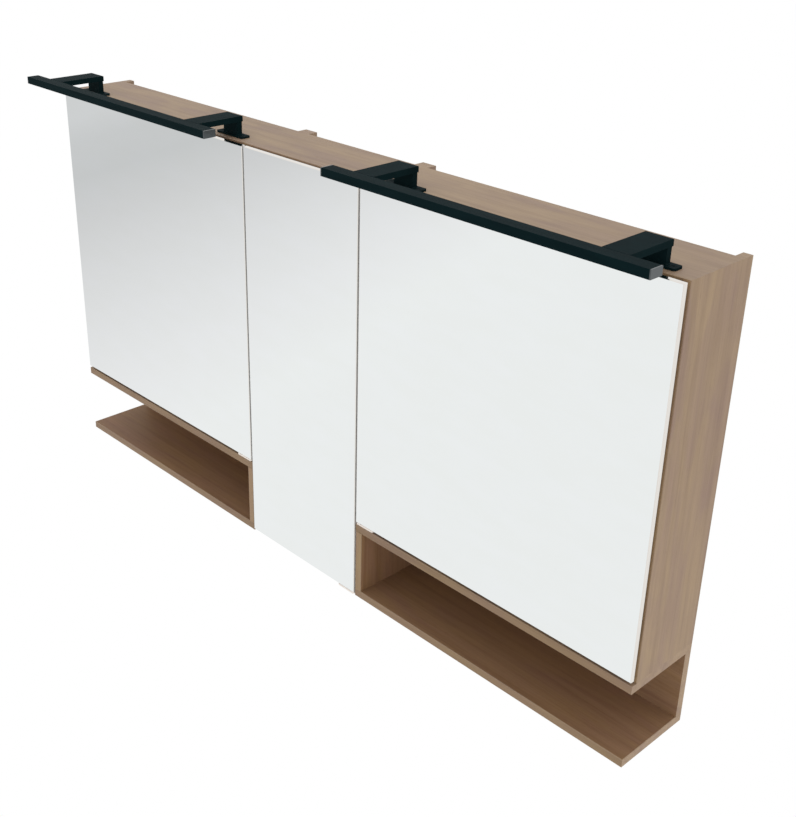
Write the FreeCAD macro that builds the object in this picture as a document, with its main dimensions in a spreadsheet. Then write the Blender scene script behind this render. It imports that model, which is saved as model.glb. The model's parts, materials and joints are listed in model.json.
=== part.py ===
"""Wall-hung three-door mirror cabinet with two top lamps and an open niche under each outer door.

Frame: +X to the right, +Y to the wall, +Z up. The origin lies on the wall plane, in the middle of
the cabinet's width, at the underside of the niche shelves. All sizes are in millimetres.
"""
import FreeCAD, Part
import os
import re
import Sketcher
from FreeCAD import Placement, Rotation, Vector

doc = FreeCAD.newDocument("mirror_cabinet")

# Driving sizes. The cabinet is two outer modules with a narrow tall one between them.
SIZES = {
    "side_module": 600,
    "centre_module": 300,
    "height": 790,
    "carcass_depth": 147,
    "board": 15,
    "edge_round": 1.2,
    "niche_height": 125,
    "rear_setback": 20,
    "back_thick": 4,
    "back_groove": 6,
    # mirror doors
    "mirror_thick": 3,
    "mirror_bevel": 1,
    "core_thick": 5,
    "door_gap": 5,
    "door_reveal": 2,
    "door_top_drop": 2,
    "door_bottom_gap": 6,
    "centre_door_lift": 5,
    "board_recess": 2,
    # glass shelves on pins
    "glass_thick": 5,
    "glass_arris": 0.8,
    "glass_depth": 105,
    "glass_side_clear": 2,
    "glass_rear_clear": 4,
    "pin_radius": 2.5,
    "pin_seat": 8,
    "pin_reach": 9,
    "pin_collar": 1.5,
    "pin_collar_radius": 4,
    "pin_inset": 18,
    "hole_clear": 0.1,
    # screws that join the modules
    "joint_radius": 4,
    "joint_head_radius": 7,
    "joint_head": 2,
    "joint_height": 130,
    "joint_front": 45,
    "joint_rear": 20,
    # hinges
    "hinge_edge": 6.8,
    "hinge_inset": 90,
    "hinge_pin_radius": 1,
    "hinge_pin_length": 30,
    "running_clear": 0.05,
    "eye_radius": 2,
    "eye_clear": 0.3,
    "arm_height": 12,
    "arm_thick": 1.5,
    "neck_clear": 0.6,
    "arm_rise": 6,
    "arm_wall": 1.5,
    "arm_clear": 0.2,
    "cup_height": 34,
    "cup_reach": 12,
    "cup_slot_reach": 4,
    "cup_slot_clear": 0.4,
    "cup_edge": 1.1,
    "plate_thick": 3,
    "plate_inset": 8,
    "plate_length": 42,
    "plate_height": 36,
    "plate_rail": 3.5,
    "plate_screw_rise": 12,
    "wing_width": 14,
    "wing_round": 5,
    "clamp_inset": 10,
    "screw_radius": 1.8,
    "screw_head_radius": 3.5,
    "screw_head": 2,
    "screw_bite": 10,
    # magnet catches, strikes, bumpers and finger pulls
    "catch_width": 12,
    "catch_height": 36,
    "catch_depth": 22,
    "catch_air": 0.3,
    "catch_round": 2,
    "magnet_width": 6,
    "magnet_height": 24,
    "magnet_recess": 0.8,
    "strike_radius": 6,
    "strike_thick": 1.5,
    "bumper_radius": 5,
    "bumper_bevel": 1.5,
    "bumper_inset": 45,
    "bumper_air": 0.3,
    "pull_width": 42,
    "pull_thick": 3.5,
    "pull_leg": 16,
    "pull_leg_thick": 1.5,
    "pull_inset": 1,
    "pull_round": 3,
    # lamps on the cabinet top
    "lamp_depth": 25,
    "lamp_height": 13.5,
    "lamp_rise": 37,
    "lamp_stand_off": 56,
    "lamp_wall": 3,
    "lamp_channel": 8,
    "lamp_round": 1,
    "cap_thick": 2,
    "diffuser_thick": 2.5,
    "diffuser_recess": 0.5,
    "diffuser_clear": 0.1,
    "led_width": 10,
    "led_thick": 1.5,
    "bracket_inset": 70,
    "bracket_width": 43,
    "bracket_arm": 10,
    "bracket_length": 96,
    "upright_width": 41,
    "upright_thick": 10,
    "upright_inset": 1.5,
    "foot_width": 75,
    "foot_depth": 20,
    "foot_thick": 3.5,
    "foot_round": 4,
    "foot_flare": 1.5,
    "foot_rear": 4,
    "foot_screw_inset": 8,
    "bracket_round": 1.5,
    # hangers inside the cabinet and rails on the wall
    "hanger_width": 18,
    "hanger_depth": 46,
    "hanger_height": 60,
    "hanger_round": 3,
    "hanger_screw_radius": 3.5,
    "hanger_screw_head": 2,
    "hanger_screw_spacing": 26,
    "hanger_recess": 3,
    "hanger_recess_radius": 4.5,
    "hook_width": 12,
    "hook_thick": 3,
    "hook_drop": 10,
    "hook_tongue": 2,
    "hook_clear": 1,
    "rail_end_clear": 4,
    "rail_thick": 2,
    "rail_flange": 30,
    "rail_lip": 12,
    "rail_offset": 8,
    "rail_hole_radius": 3.25,
    "rail_hole_spacing": 400,
    # lamp supply and switch
    "driver_length": 150,
    "driver_height": 42,
    "driver_depth": 16,
    "driver_round": 2,
    "driver_top": 40,
    "driver_cover": 26,
    "driver_step": 2,
    "ear_thick": 2,
    "ear_reach": 12,
    "ear_height": 16,
    "ear_screw_bite": 3,
    "inlet_radius": 4,
    "inlet_length": 6,
    "switch_width": 46,
    "switch_depth": 38,
    "switch_height": 42,
    "switch_inset": 14,
    "switch_round": 2,
    "rocker_width": 18,
    "rocker_height": 25,
    "rocker_depth": 7,
    "rocker_dish": 1.5,
    "rocker_tail": 3,
    "rocker_pivot": 5,
    "rocker_side_clear": 0.5,
    "rocker_swing_clear": 1.5,
    "rocker_axle_radius": 1.5,
    "rocker_axle_reach": 2.5,
    "rocker_tilt": 8,
}

# Planes and places that follow from the driving sizes
DERIVED = {
    "half_centre": "centre_module / 2",
    "half_width": "side_module + half_centre",
    "lamp_centre": "half_centre + side_module / 2",
    "carcass_front": "-carcass_depth",
    "door_back": "carcass_front - door_gap",
    "glass_back": "door_back - core_thick",
    "door_front": "glass_back - mirror_thick",
    "board_front": "door_front + board_recess",
    "niche_top": "board + niche_height",
    "module_floor": "niche_top + board",
    "top_under": "height - board",
    "back_rear": "-rear_setback",
    "back_front": "back_rear - back_thick",
    "side_door_low": "module_floor + door_bottom_gap",
    "door_high": "height - door_top_drop",
    "hinge_x": "door_reveal + hinge_edge",
    "hinge_depth": "core_thick - eye_radius - eye_clear",
    "hinge_y": "door_back - hinge_depth",
    "glass_rear": "back_front - glass_rear_clear",
    "glass_front": "glass_rear - glass_depth",
    "plate_front": "carcass_front + plate_inset",
    "plate_rear": "plate_front + plate_length",
    "plate_middle": "(plate_front + plate_rear) / 2",
    "clamp_place": "plate_rear - clamp_inset",
    "arm_seat": "board + plate_thick + arm_rise",
    "catch_level": "(module_floor + top_under) / 2",
    "lamp_rear": "door_front - lamp_stand_off",
    "lamp_top": "height + lamp_rise",
    "lamp_low": "lamp_top - lamp_height",
    "foot_back": "lamp_rear + bracket_length + foot_rear",
    "foot_front": "foot_back - foot_depth",
    "foot_middle": "(foot_front + foot_back) / 2",
    "rail_top": "top_under - hanger_height / 2",
    "rail_length": "side_module - 2 * board - 2 * rail_end_clear",
    "ear_level": "top_under - driver_top - driver_height / 2",
    "ear_place": "driver_length / 2 + ear_reach / 2",
    "switch_front": "back_front - switch_depth",
    "switch_right": "half_centre - board - switch_inset",
    "switch_x": "switch_right - switch_width / 2",
    "switch_z": "top_under - switch_height / 2",
    "pivot_y": "switch_front + rocker_pivot",
}

sheet = doc.addObject("Spreadsheet::Sheet", "Sizes")
for row, (alias, size) in enumerate(SIZES.items(), 1):
    sheet.set(f"A{row}", alias.replace("_", " "))
    sheet.set(f"B{row}", str(size))
    sheet.setAlias(f"B{row}", alias)
doc.recompute()

# Distance below which two places count as one
CLOSE = 1e-6

spelt = {alias: "Sizes." + alias for alias in SIZES}


def spell(text):
    """Turn a size text into an expression on the sheet."""
    return re.sub(r"[a-z_]+", lambda word: spelt[word.group()], text)


for name, text in DERIVED.items():
    spelt[name] = "(" + spell(text) + ")"


def value(text):
    """The number that a size text stands for."""
    return float(sheet.evalExpression(spell(text)))


def bind(piece, prop, text):
    piece.setExpression(prop, spell(text))


def span(face, sign, near, far):
    """Low and high texts of a stretch that is measured from a face, to the right or to the left."""
    if sign > 0:
        return f"{face} + ({near})", f"{face} + ({far})"
    return f"{face} - ({far})", f"{face} - ({near})"


def around(middle, size):
    return f"{middle} - ({size}) / 2", f"{middle} + ({size}) / 2"


def place(piece, x, y, z):
    for axis, text in zip("xyz", (x, y, z)):
        bind(piece, "Placement.Base." + axis, text)
    return piece


def box(label, x, y, z):
    """A block between two planes along each axis."""
    piece = doc.addObject("Part::Box", label)
    place(piece, x[0], y[0], z[0])
    for side, (low, high) in zip(("Length", "Width", "Height"), (x, y, z)):
        bind(piece, side, f"({high}) - ({low})")
    return piece


TURNS = {
    "x": Rotation(Vector(0, 1, 0), 90),
    "y": Rotation(Vector(1, 0, 0), -90),
    "z": Rotation(),
}


def rod(label, axis, stretch, first, second, radius):
    """A cylinder along one axis; first and second are its place along the other two."""
    piece = doc.addObject("Part::Cylinder", label)
    piece.Placement = Placement(Vector(), TURNS[axis])
    at = {axis: stretch[0]}
    at.update(zip([other for other in "xyz" if other != axis], (first, second)))
    place(piece, at["x"], at["y"], at["z"])
    bind(piece, "Height", f"({stretch[1]}) - ({stretch[0]})")
    bind(piece, "Radius", radius)
    return piece


def group(label, members):
    piece = doc.addObject("Part::Compound", label)
    piece.Links = members
    return piece


def cut(label, base, tools):
    piece = doc.addObject("Part::Cut", label)
    piece.Base = base
    piece.Tool = tools[0] if len(tools) == 1 else group(label + "_tools", tools)
    return piece


def fuse(label, members):
    piece = doc.addObject("Part::MultiFuse", label)
    piece.Shapes = members
    return piece


def new_body(label):
    return doc.addObject("PartDesign::Body", label)


def sketch(body, role, offset):
    """A sketch on one of the body's own planes, moved along that plane's normal."""
    flat = body.newObject("Sketcher::SketchObject", body.Name + "_sketch")
    base = next(feature for feature in body.Origin.OriginFeatures if feature.Role == role)
    flat.AttachmentSupport = (base, "")
    flat.MapMode = "FlatFace"
    bind(flat, "AttachmentOffset.Base.z", offset)
    return flat


def tie(flat, geometry, point, x, y):
    """Hold a point of the sketch at its place from the sketch's origin."""
    for kind, text in (("DistanceX", x), ("DistanceY", y)):
        index = flat.addConstraint(Sketcher.Constraint(kind, -1, 1, geometry, point, value(text)))
        bind(flat, f"Constraints[{index}]", text)


def outline(flat, points):
    """A closed outline of straight edges through points given as pairs of size texts."""
    spots = [Vector(value(x), value(y), 0) for x, y in points]
    count = len(points)
    for index in range(count):
        flat.addGeometry(Part.LineSegment(spots[index], spots[(index + 1) % count]), False)
    for index in range(count):
        flat.addConstraint(Sketcher.Constraint("Coincident", index, 2, (index + 1) % count, 1))
    for index, (x, y) in enumerate(points):
        tie(flat, index, 1, x, y)


def corners(x, y):
    return [(x[0], y[0]), (x[1], y[0]), (x[1], y[1]), (x[0], y[1])]


def ring(flat, x, y, radius):
    middle = Vector(value(x), value(y), 0)
    index = flat.addGeometry(Part.Circle(middle, Vector(0, 0, 1), value(radius)), False)
    tie(flat, index, 3, x, y)
    size = flat.addConstraint(Sketcher.Constraint("Radius", index, value(radius)))
    bind(flat, f"Constraints[{size}]", radius)


def pad(body, flat, length):
    feature = body.newObject("PartDesign::Pad", body.Name + "_pad")
    feature.Profile = flat
    bind(feature, "Length", length)
    doc.recompute()
    return feature


def pocket(body, flat, depth):
    """Cut along the sketch's normal."""
    feature = body.newObject("PartDesign::Pocket", body.Name + "_pocket")
    feature.Profile = flat
    feature.Reversed = True
    bind(feature, "Length", depth)
    doc.recompute()
    return feature


def revolve(body, flat):
    """A full turn about the sketch's own vertical axis."""
    feature = body.newObject("PartDesign::Revolution", body.Name + "_turn")
    feature.Profile = flat
    feature.ReferenceAxis = (flat, ["V_Axis"])
    doc.recompute()
    return feature


def runs_along(edge, axis):
    """Tell whether an edge is straight along one axis."""
    first, last = edge.Vertexes[0].Point, edge.Vertexes[-1].Point
    return edge.Length > CLOSE and abs(abs(getattr(last - first, axis)) - edge.Length) < CLOSE


def edges_at(shape, spots):
    """Names of the straight edges that run along an axis and lie on the planes given for it."""
    names = []
    for index, edge in enumerate(shape.Edges, 1):
        for axis, planes in spots:
            middle = edge.CenterOfMass
            held = all(abs(getattr(middle, way) - value(text)) < CLOSE for way, text in planes.items())
            if held and runs_along(edge, axis):
                names.append(f"Edge{index}")
    return names


def soften(body, kind, base, spots, size):
    """Round or bevel edges of the body's last feature."""
    feature = body.newObject("PartDesign::" + kind, body.Name + "_" + kind.lower())
    feature.Base = (base, edges_at(base.Shape, spots))
    bind(feature, {"Fillet": "Radius", "Chamfer": "Size"}[kind], size)
    doc.recompute()
    return feature


def plank(label, x, y, z, spots, radius="edge_round"):
    """A board or pane with some of its edges rounded."""
    body = new_body(label)
    flat = sketch(body, "XY_Plane", z[0])
    outline(flat, corners(x, y))
    block = pad(body, flat, f"({z[1]}) - ({z[0]})")
    soften(body, "Fillet", block, spots, radius)
    return body


# Each module: its left and right face, its floor and its number of glass shelves
SIDE_SHELVES = 2
CENTRE_SHELVES = 3
MODULES = {
    "left": ("-half_width", "-half_centre", "module_floor", SIDE_SHELVES),
    "centre": ("-half_centre", "half_centre", "board", CENTRE_SHELVES),
    "right": ("half_centre", "half_width", "module_floor", SIDE_SHELVES),
}
# Each door: hinged face, way from the hinge to the opening edge, opposite face, lower edge
DOORS = {
    "left": ("-half_width", 1, "-half_centre", "side_door_low"),
    "centre": ("-half_centre", 1, "half_centre", "centre_door_lift"),
    "right": ("half_width", -1, "half_centre", "side_door_low"),
}
PIN_PLACES = ("glass_front + pin_inset", "glass_rear - pin_inset")
JOINT_LEVELS = ("module_floor + joint_height", "top_under - joint_height")
JOINT_PLACES = ("carcass_front + joint_front", "back_front - joint_rear")


def shelf_levels(module):
    """Undersides of a module's glass shelves, evenly spread over its inner height."""
    floor, count = MODULES[module][2:]
    return [f"({floor} + {step} * (top_under - {floor}) / {count + 1})" for step in range(1, count + 1)]


def hinge_levels(door):
    low = DOORS[door][3]
    return [f"({low} + hinge_inset)", "(door_high - hinge_inset)"]


def hinge_screw_levels(door):
    """Levels of the two screws of each hinge's mounting plate."""
    return [f"{level} + {way} * plate_screw_rise" for level in hinge_levels(door) for way in (1, -1)]


def side_board(label, face, sign, module, low, hinged, joined):
    """An upright board, its inner face grooved for the back panel and bored for pins and screws."""
    floor = MODULES[module][2]
    blank = plank(label + "_blank", span(face, sign, "0", "board"), ("carcass_front", "0"), (low, "height"),
                  [("z", {"y": "carcass_front"})])
    groove = span(face, sign, "board - back_groove", "board")
    tools = [box(label + "_groove", groove, ("back_front", "back_rear"), (floor, "top_under"))]
    pin_bore = span(face, sign, "board - pin_seat - hole_clear", "board")
    for level in shelf_levels(module):
        for depth in PIN_PLACES:
            spot = f"{level} - pin_radius"
            tools.append(rod(label + "_pin_bore", "x", pin_bore, depth, spot, "pin_radius + hole_clear"))
    if hinged:
        bite = span(face, sign, "board - screw_bite - hole_clear", "board")
        bore = "screw_radius + hole_clear"
        for level in hinge_screw_levels(module):
            tools.append(rod(label + "_screw_bore", "x", bite, "plate_middle", level, bore))
    if joined:
        through = span(face, sign, "0", "board")
        bore = "joint_radius + hole_clear"
        for level in JOINT_LEVELS:
            for depth in JOINT_PLACES:
                tools.append(rod(label + "_joint_bore", "x", through, depth, level, bore))
    return cut(label, blank, tools)


def bracket_middles(side):
    sign = {"left": "-", "right": ""}[side]
    return [f"({sign}lamp_centre + {way} * (side_module / 2 - bracket_inset))" for way in (-1, 1)]


def foot_screw_places(side):
    reach = "(foot_width / 2 - foot_screw_inset)"
    return [f"{middle} + {way} * {reach}" for middle in bracket_middles(side) for way in (-1, 1)]


def top_board(module):
    low, high = MODULES[module][:2]
    label = module + "_top_board"
    inner = (f"{low} + board", f"{high} - board")
    depth = ("carcass_front", "back_rear")
    front = [("x", {"y": "carcass_front"})]
    if module == "centre":
        return plank(label, inner, depth, ("top_under", "height"), front)
    blank = plank(label + "_blank", inner, depth, ("top_under", "height"), front)
    stretch = ("height - screw_bite - hole_clear", "height")
    tools = [rod(label + "_bore", "z", stretch, spot, "foot_middle", "screw_radius + hole_clear")
             for spot in foot_screw_places(module)]
    return cut(label, blank, tools)


def carcass():
    """The boards: uprights, tops, floors and thin back panels."""
    pieces = [
        side_board("left_outer_side", "-half_width", 1, "left", "module_floor", True, False),
        side_board("left_inner_side", "-half_centre", -1, "left", "module_floor", False, True),
        side_board("centre_left_side", "-half_centre", 1, "centre", "0", True, True),
        side_board("centre_right_side", "half_centre", -1, "centre", "0", False, True),
        side_board("right_inner_side", "half_centre", 1, "right", "module_floor", False, True),
        side_board("right_outer_side", "half_width", -1, "right", "module_floor", True, False),
    ]
    inner = ("-half_centre + board", "half_centre - board")
    pieces.append(plank("centre_bottom_board", inner, ("carcass_front", "0"), ("0", "board"),
                        [("x", {"y": "carcass_front"})]))
    for module, (low, high, floor, count) in MODULES.items():
        pieces.append(top_board(module))
        pieces.append(back_panel(module, low, high, floor))
    return pieces


def niche(side, outer, inner, sign):
    """An open niche: the floor above it, a shelf, an upright at its inner end and a thick back."""
    width = (outer, inner) if sign > 0 else (inner, outer)
    depth = ("board_front", "0")
    front = [("x", {"y": "board_front"})]
    end = [("y", {"x": outer})]
    back = span(inner, -sign, "board", "side_module")
    return [
        plank(side + "_bottom_board", width, depth, ("niche_top", "module_floor"), front),
        plank(side + "_niche_shelf", width, depth, ("0", "board"), front + end),
        plank(side + "_niche_upright", span(inner, -sign, "0", "board"), depth, ("board", "niche_top"),
              [("z", {"y": "board_front"})]),
        box(side + "_niche_back", back, ("-board", "0"), ("board", "niche_top")),
    ]


def niches():
    return niche("left", "-half_width", "-half_centre", 1) + niche("right", "half_width", "half_centre", -1)


def hanger_spans(module):
    """Where a module's two hangers stand along X, each against an upright."""
    low, high = MODULES[module][:2]
    return [span(low, 1, "board", "board + hanger_width"), span(high, -1, "board", "board + hanger_width")]


def middle_of(stretch):
    return f"({stretch[0]} + {stretch[1]}) / 2"


def back_panel(module, low, high, floor):
    """A thin panel in the uprights' grooves, slotted for the hangers' hooks or bored for the lamp supply."""
    label = module + "_back_panel"
    width = (f"{low} + board - back_groove", f"{high} - board + back_groove")
    depth = ("back_front", "back_rear")
    blank = box(label + "_blank", width, depth, (floor, "top_under"))
    if module == "centre":
        bite = ("back_rear - ear_screw_bite - hole_clear", "back_rear")
        bore = "screw_radius + hole_clear"
        bores = [rod(label + "_bore", "y", bite, f"{way} * ear_place", "ear_level", bore) for way in (-1, 1)]
        return cut(label, blank, bores)
    slots = []
    for stretch in hanger_spans(module):
        across = around(middle_of(stretch), "hook_width + 2 * hook_clear")
        rise = ("rail_top - hook_clear", "rail_top + hook_thick + hook_clear")
        slots.append(box(label + "_slot", across, depth, rise))
    return cut(label, blank, slots)


def shelf_pin(face, sign, depth, level):
    """A stepped pin: a shank in the upright, a collar on its face and a stub under the glass."""
    body = new_body("shelf_pin")
    flat = sketch(body, "XZ_Plane", "0")
    outline(flat, [
        ("0", "-pin_seat"),
        ("pin_radius", "-pin_seat"),
        ("pin_radius", "0"),
        ("pin_collar_radius", "0"),
        ("pin_collar_radius", "pin_collar"),
        ("pin_radius", "pin_collar"),
        ("pin_radius", "pin_reach"),
        ("0", "pin_reach"),
    ])
    revolve(body, flat)
    body.Placement = Placement(Vector(), Rotation(Vector(0, 1, 0), 90 * sign))
    return place(body, span(face, sign, "board", "board")[0], depth, f"{level} - pin_radius")


def shelves():
    """Glass shelves and their pins."""
    pieces = []
    pins = []
    for module, (low, high, floor, count) in MODULES.items():
        width = (f"{low} + board + glass_side_clear", f"{high} - board - glass_side_clear")
        panes = []
        for level in shelf_levels(module):
            depth = ("glass_front", "glass_rear")
            panes.append(plank(module + "_pane", width, depth, (level, f"{level} + glass_thick"),
                               [("x", {"y": "glass_front"})], "glass_arris"))
            for place_y in PIN_PLACES:
                pins.append(shelf_pin(low, 1, place_y, level))
                pins.append(shelf_pin(high, -1, place_y, level))
        pieces.append(group(module + "_glass_shelves", panes))
    pieces.append(group("shelf_pins", pins))
    return pieces


def joint_screws():
    """Sleeve screws through each pair of uprights that stand back to back."""
    screws = []
    for face in ("-half_centre", "half_centre"):
        for level in JOINT_LEVELS:
            for depth in JOINT_PLACES:
                inside = around(face, "2 * board")
                heads = [
                    rod("joint_head", "x", (inside[1], inside[1] + " + joint_head"), depth, level,
                        "joint_head_radius"),
                    rod("joint_head", "x", (inside[0] + " - joint_head", inside[0]), depth, level,
                        "joint_head_radius"),
                ]
                sleeve = rod("joint_sleeve", "x", inside, depth, level, "joint_radius")
                screws.append(fuse("joint_screw", heads + [sleeve]))
    return screws


def hanger(stretch):
    """A hanger housing against the upright, rounded at its front, with two sunk adjusting screws."""
    body = new_body("hanger")
    flat = sketch(body, "XY_Plane", "0")
    outline(flat, corners(("0", "hanger_width"), ("0", "hanger_depth")))
    block = pad(body, flat, "hanger_height")
    soften(body, "Fillet", block, [("z", {"y": "0"})], "hanger_round")
    levels = around("hanger_height / 2", "hanger_screw_spacing")
    wells = sketch(body, "XZ_Plane", "-hanger_recess")
    for level in levels:
        ring(wells, "hanger_width / 2", level, "hanger_recess_radius")
    pocket(body, wells, "hanger_recess")
    heads = sketch(body, "XZ_Plane", "-hanger_recess")
    for level in levels:
        ring(heads, "hanger_width / 2", level, "hanger_screw_radius")
    pad(body, heads, "hanger_screw_head")
    return place(body, stretch[0], "back_front - hanger_depth", "top_under - hanger_height")


def hook(stretch):
    """A flat steel hook that leaves the hanger through the back panel and drops behind the rail's lip."""
    body = new_body("hook")
    flat = sketch(body, "YZ_Plane", "-hook_width / 2")
    tongue_rear = "-rail_thick - hook_clear"
    tongue_front = "-rail_thick - hook_clear - hook_tongue"
    outline(flat, [
        ("back_front", "0"),
        (tongue_front, "0"),
        (tongue_front, "-hook_drop"),
        (tongue_rear, "-hook_drop"),
        (tongue_rear, "hook_thick"),
        ("back_front", "hook_thick"),
    ])
    pad(body, flat, "hook_width")
    return place(body, middle_of(stretch), "0", "rail_top")


def wall_rail(module):
    """A steel rail on the wall: a flange with two screw holes and an upturned lip for the hooks."""
    body = new_body("wall_rail")
    flat = sketch(body, "YZ_Plane", "-rail_length / 2")
    outline(flat, [
        ("0", "-rail_lip - rail_flange"),
        ("0", "-rail_lip"),
        ("-rail_offset + rail_thick", "-rail_lip"),
        ("-rail_offset + rail_thick", "0"),
        ("-rail_offset", "0"),
        ("-rail_offset", "-rail_lip - rail_thick"),
        ("-rail_thick", "-rail_lip - rail_thick"),
        ("-rail_thick", "-rail_lip - rail_flange"),
    ])
    pad(body, flat, "rail_length")
    holes = sketch(body, "XZ_Plane", "0")
    for way in (-1, 1):
        ring(holes, f"{way} * rail_hole_spacing / 2", "-rail_lip - rail_flange / 2", "rail_hole_radius")
    pocket(body, holes, "rail_thick")
    sign = {"left": "-", "right": ""}[module]
    return place(body, sign + "lamp_centre", "0", "rail_top")


def hanging():
    stretches = hanger_spans("left") + hanger_spans("right")
    return [
        group("cabinet_hangers", [hanger(stretch) for stretch in stretches]),
        group("hanger_hooks", [hook(stretch) for stretch in stretches]),
        group("wall_rails", [wall_rail(module) for module in ("left", "right")]),
    ]


def hinge_arm(door, level):
    """A goose-neck arm: an eye round the pin, a neck in the door gap and a channel over the plate's rail."""
    face, sign = DOORS[door][:2]
    body = new_body("hinge_arm")
    near = "hinge_depth + neck_clear"
    far = near + " + arm_thick"
    leg = "board + plate_thick - hinge_x"
    top = leg + " + arm_rise"
    end = "plate_rear - hinge_y"
    flat = sketch(body, "XY_Plane", "-arm_height / 2")
    points = [
        ("-arm_thick / 2", "0"),
        ("-arm_thick / 2", far),
        (leg, far),
        (leg, end),
        (top, end),
        (top, near),
        ("arm_thick / 2", near),
        ("arm_thick / 2", "0"),
    ]
    outline(flat, [(f"{sign} * ({x})", y) for x, y in points])
    strap = pad(body, flat, "arm_height")
    bends = [("z", {"x": f"{sign} * ({top})", "y": near}), ("z", {"x": f"{-sign} * arm_thick / 2", "y": far})]
    soften(body, "Fillet", strap, bends, "arm_thick * 0.75")
    hollow = sketch(body, "YZ_Plane", span("0", sign, leg, top + " - arm_thick")[0])
    outline(hollow, corners((far, end), around("0", "arm_height - 2 * arm_wall")))
    pocket(body, hollow, "arm_rise - arm_thick")
    hole = sketch(body, "YZ_Plane", span("0", sign, top + " - arm_thick", top)[0])
    ring(hole, "clamp_place - hinge_y", "0", "screw_radius + hole_clear")
    pocket(body, hole, "arm_thick")
    eye = sketch(body, "XY_Plane", "-arm_height / 2")
    ring(eye, "0", "0", "eye_radius")
    pad(body, eye, "arm_height")
    bore = sketch(body, "XY_Plane", "-arm_height / 2")
    ring(bore, "0", "0", "hinge_pin_radius + running_clear")
    pocket(body, bore, "arm_height")
    return place(body, f"{face} + {sign} * hinge_x", "hinge_y", level)


def hinge_cup(door, level):
    """A cup let in behind the door's hinge edge, slotted for the arm's eye, with a bore for the pin."""
    face, sign = DOORS[door][:2]
    body = new_body("hinge_cup")
    rim = "cup_edge - hinge_edge"
    across = span("0", sign, rim, "cup_reach")
    deep = ("hinge_depth - core_thick", "hinge_depth")
    block = sketch(body, "XY_Plane", "-cup_height / 2")
    outline(block, corners(across, deep))
    pad(body, block, "cup_height")
    slot = sketch(body, "XY_Plane", "-arm_height / 2 - cup_slot_clear")
    outline(slot, corners(span("0", sign, rim, "cup_slot_reach"), deep))
    pocket(body, slot, "arm_height + 2 * cup_slot_clear")
    bore = sketch(body, "XY_Plane", "-cup_height / 2")
    ring(bore, "0", "0", "hinge_pin_radius + running_clear")
    pocket(body, bore, "cup_height")
    return place(body, f"{face} + {sign} * hinge_x", "hinge_y", level)


def hinge_pin(door, level):
    face, sign = DOORS[door][:2]
    stretch = around(level, "hinge_pin_length")
    return rod("hinge_pin", "z", stretch, f"{face} + {sign} * hinge_x", "hinge_y", "hinge_pin_radius")


def hinge_plate(door, level):
    """A winged mounting plate on the upright, with a rail for the arm and bores for its three screws."""
    face, sign = DOORS[door][:2]
    body = new_body("hinge_plate")
    hole = "screw_radius + hole_clear"
    wing_low = span(face, sign, "board", "board + plate_thick")[0]
    wing = sketch(body, "YZ_Plane", wing_low)
    outline(wing, corners(around("plate_middle", "wing_width"), around(level, "plate_height")))
    blank = pad(body, wing, "plate_thick")
    soften(body, "Fillet", blank, [("x", {})], "wing_round")
    rail_low = span(face, sign, "board", "board + plate_thick + plate_rail")[0]
    rail = sketch(body, "YZ_Plane", rail_low)
    rail_rise = around(level, "arm_height - 2 * arm_wall - 2 * arm_clear")
    outline(rail, corners(("plate_front", "plate_rear"), rail_rise))
    pad(body, rail, "plate_thick + plate_rail")
    wing_bores = sketch(body, "YZ_Plane", wing_low)
    for way in (1, -1):
        ring(wing_bores, "plate_middle", f"{level} + {way} * plate_screw_rise", hole)
    pocket(body, wing_bores, "plate_thick")
    clamp_bore = sketch(body, "YZ_Plane", rail_low)
    ring(clamp_bore, "clamp_place", level, hole)
    pocket(body, clamp_bore, "plate_thick + plate_rail")
    return body


def side_screw(face, sign, tip, seat, depth, level):
    """A screw along X: its shank runs from the tip to the seat and its head stands on the seat."""
    head = span(face, sign, seat, f"{seat} + screw_head")
    return fuse("side_screw", [
        rod("side_screw_head", "x", head, depth, level, "screw_head_radius"),
        rod("side_screw_shank", "x", span(face, sign, tip, seat), depth, level, "screw_radius"),
    ])


def hinge_screws(door):
    """The two screws of each mounting plate and the one that clamps the arm on it."""
    face, sign = DOORS[door][:2]
    plate_seat = "board + plate_thick"
    screws = []
    for level in hinge_screw_levels(door):
        screws.append(side_screw(face, sign, "board - screw_bite", plate_seat, "plate_middle", level))
    for level in hinge_levels(door):
        screws.append(side_screw(face, sign, "board + hole_clear", "arm_seat", "clamp_place", level))
    return screws


def hinges():
    arms = [hinge_arm(door, level) for door in DOORS for level in hinge_levels(door)]
    plates = [hinge_plate(door, level) for door in DOORS for level in hinge_levels(door)]
    return [group("hinge_arms", arms), group("hinge_plates", plates)]


def driver_screws():
    """Screws through the lamp supply's ears into the back panel."""
    seat = "back_rear + ear_thick"
    head = (seat, seat + " + screw_head")
    shank = ("back_rear - ear_screw_bite", seat)
    screws = []
    for way in (-1, 1):
        x = f"{way} * ear_place"
        screws.append(fuse("driver_screw", [
            rod("driver_screw_head", "y", head, x, "ear_level", "screw_head_radius"),
            rod("driver_screw_shank", "y", shank, x, "ear_level", "screw_radius"),
        ]))
    return screws


def cabinet_screws():
    screws = joint_screws() + driver_screws()
    for door in DOORS:
        screws += hinge_screws(door)
    return [group("cabinet_screws", screws)]


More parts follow.
